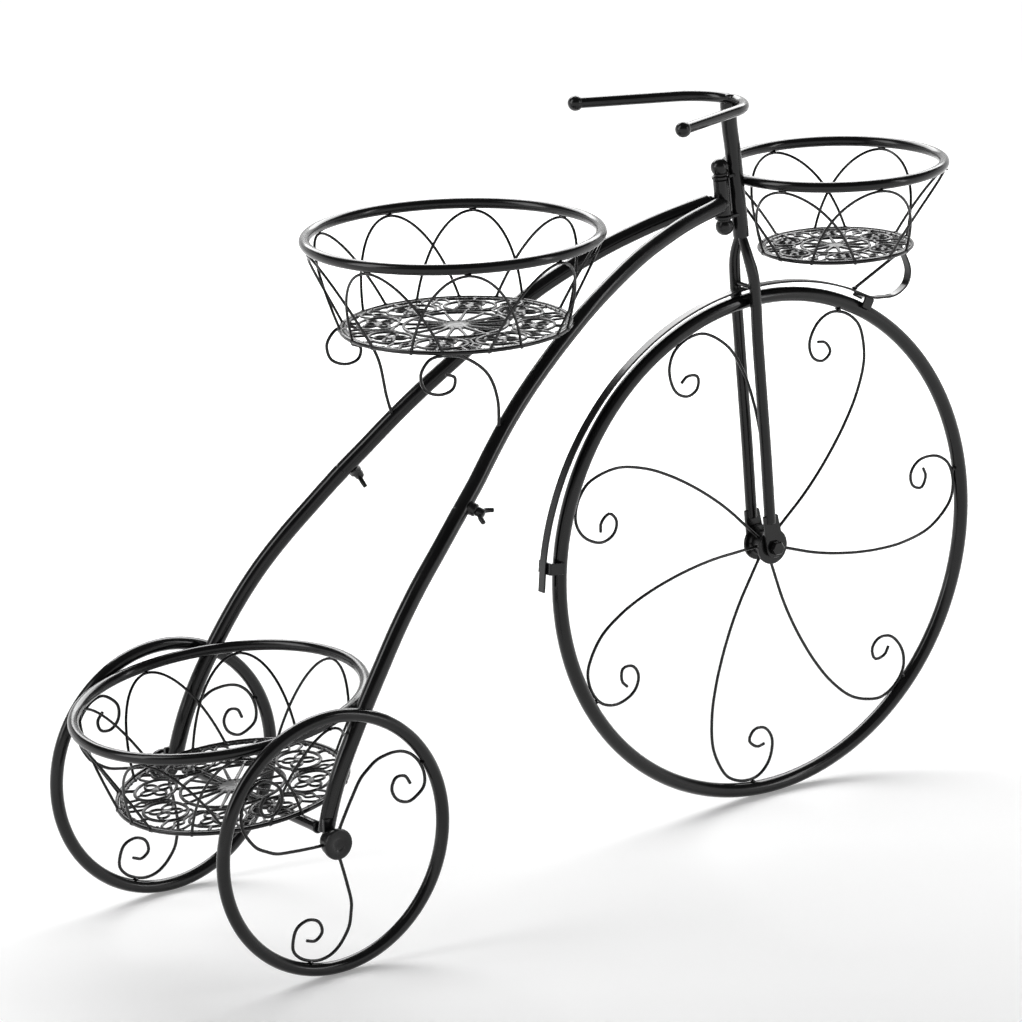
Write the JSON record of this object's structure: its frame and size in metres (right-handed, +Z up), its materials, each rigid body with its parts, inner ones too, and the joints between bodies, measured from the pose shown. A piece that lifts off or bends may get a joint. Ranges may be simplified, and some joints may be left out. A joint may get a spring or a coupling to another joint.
{
  "type": "bicycle planter",
  "caption": "Black painted steel tricycle planter: wire flower baskets on a tubular frame, with a steering fork and wheels that turn.",
  "frame": {"origin": "on the floor, under the middle of the whole planter's length and width", "axes": "+X forward to the front wheel, +Y to the planter's left, +Z up; the wheels stand on Z = 0"},
  "size_m": [0.994, 0.297, 0.6877],
  "materials": {
    "black_paint": "gloss",
    "bush_plastic": "matte"
  },
  "bodies": {
    "frame": {"rear_cross_tube": "black_paint", "head_sleeve": "black_paint", "lower_stay_right": "black_paint", "upper_stay_right": "black_paint", "clamp_boss_right": "black_paint", "rear_wheel_bolt_right": "black_paint", "lower_stay_left": "black_paint", "upper_stay_left": "black_paint", "clamp_boss_left": "black_paint", "rear_wheel_bolt_left": "black_paint", "middle_basket_rim": "black_paint", "middle_basket_cage": "black_paint", "middle_basket_floor": "black_paint", "lower_basket_rim": "black_paint", "lower_basket_cage": "black_paint", "lower_basket_floor": "black_paint", "middle_basket_support_right": "black_paint", "middle_basket_support_left": "black_paint"},
    "wing_screw_right": {"wing_screw_right": "black_paint"},
    "wing_screw_left": {"wing_screw_left": "black_paint"},
    "fork": {"steerer": "black_paint", "head_pin": "black_paint", "head_pin_cap_upper": "black_paint", "head_pin_cap_lower": "black_paint", "fork_blade_right": "black_paint", "fork_blade_left": "black_paint", "handlebar": "black_paint", "handlebar_ball_right": "black_paint", "handlebar_ball_left": "black_paint", "fender": "black_paint", "fender_clip_front": "black_paint", "fender_clip_rear": "black_paint", "fender_bridge": "black_paint", "basket_brace": "black_paint", "front_axle_bolt": "black_paint", "front_axle_nut": "black_paint", "front_basket_rim": "black_paint", "front_basket_cage": "black_paint", "front_basket_floor": "black_paint"},
    "front_wheel": {"front_wheel_rim": "black_paint", "front_hub": "black_paint", "front_hub_bush": "bush_plastic", "front_spoke_1": "black_paint", "front_spoke_2": "black_paint", "front_spoke_3": "black_paint", "front_spoke_4": "black_paint", "front_spoke_5": "black_paint", "front_spoke_6": "black_paint", "front_spoke_7": "black_paint"},
    "rear_wheel_right": {"rear_wheel_rim_right": "black_paint", "rear_hub_right": "black_paint", "rear_spoke_right_1": "black_paint", "rear_spoke_right_2": "black_paint", "rear_spoke_right_3": "black_paint"},
    "rear_wheel_left": {"rear_wheel_rim_left": "black_paint", "rear_hub_left": "black_paint", "rear_spoke_left_1": "black_paint", "rear_spoke_left_2": "black_paint", "rear_spoke_left_3": "black_paint"}
  },
  "joints": [
    {"name": "steering", "type": "hinge", "parent": "frame", "child": "fork", "pos_m": [0.2085, 0, 0.5892], "axis": [-0.0712, 0, 0.9975], "range_deg": [-40, 40]},
    {"name": "front_wheel_spin", "type": "hinge", "parent": "fork", "child": "front_wheel", "pos_m": [0.25, 0, 0.247], "axis": [0, 1, 0], "continuous": true},
    {"name": "rear_wheel_spin_right", "type": "hinge", "parent": "frame", "child": "rear_wheel_right", "pos_m": [-0.338, -0.1405, 0.1205], "axis": [0, 1, 0], "continuous": true},
    {"name": "rear_wheel_spin_left", "type": "hinge", "parent": "frame", "child": "rear_wheel_left", "pos_m": [-0.338, 0.1405, 0.1205], "axis": [0, 1, 0], "continuous": true},
    {"name": "wing_screw_turn_right", "type": "hinge", "parent": "frame", "child": "wing_screw_right", "pos_m": [-0.15569, -0.09224, 0.3819], "axis": [0.5633, -0.7266, -0.3934], "continuous": true},
    {"name": "wing_screw_turn_left", "type": "hinge", "parent": "frame", "child": "wing_screw_left", "pos_m": [-0.15569, 0.09224, 0.3819], "axis": [0.6777, 0.0682, -0.7321], "continuous": true}
  ]
}
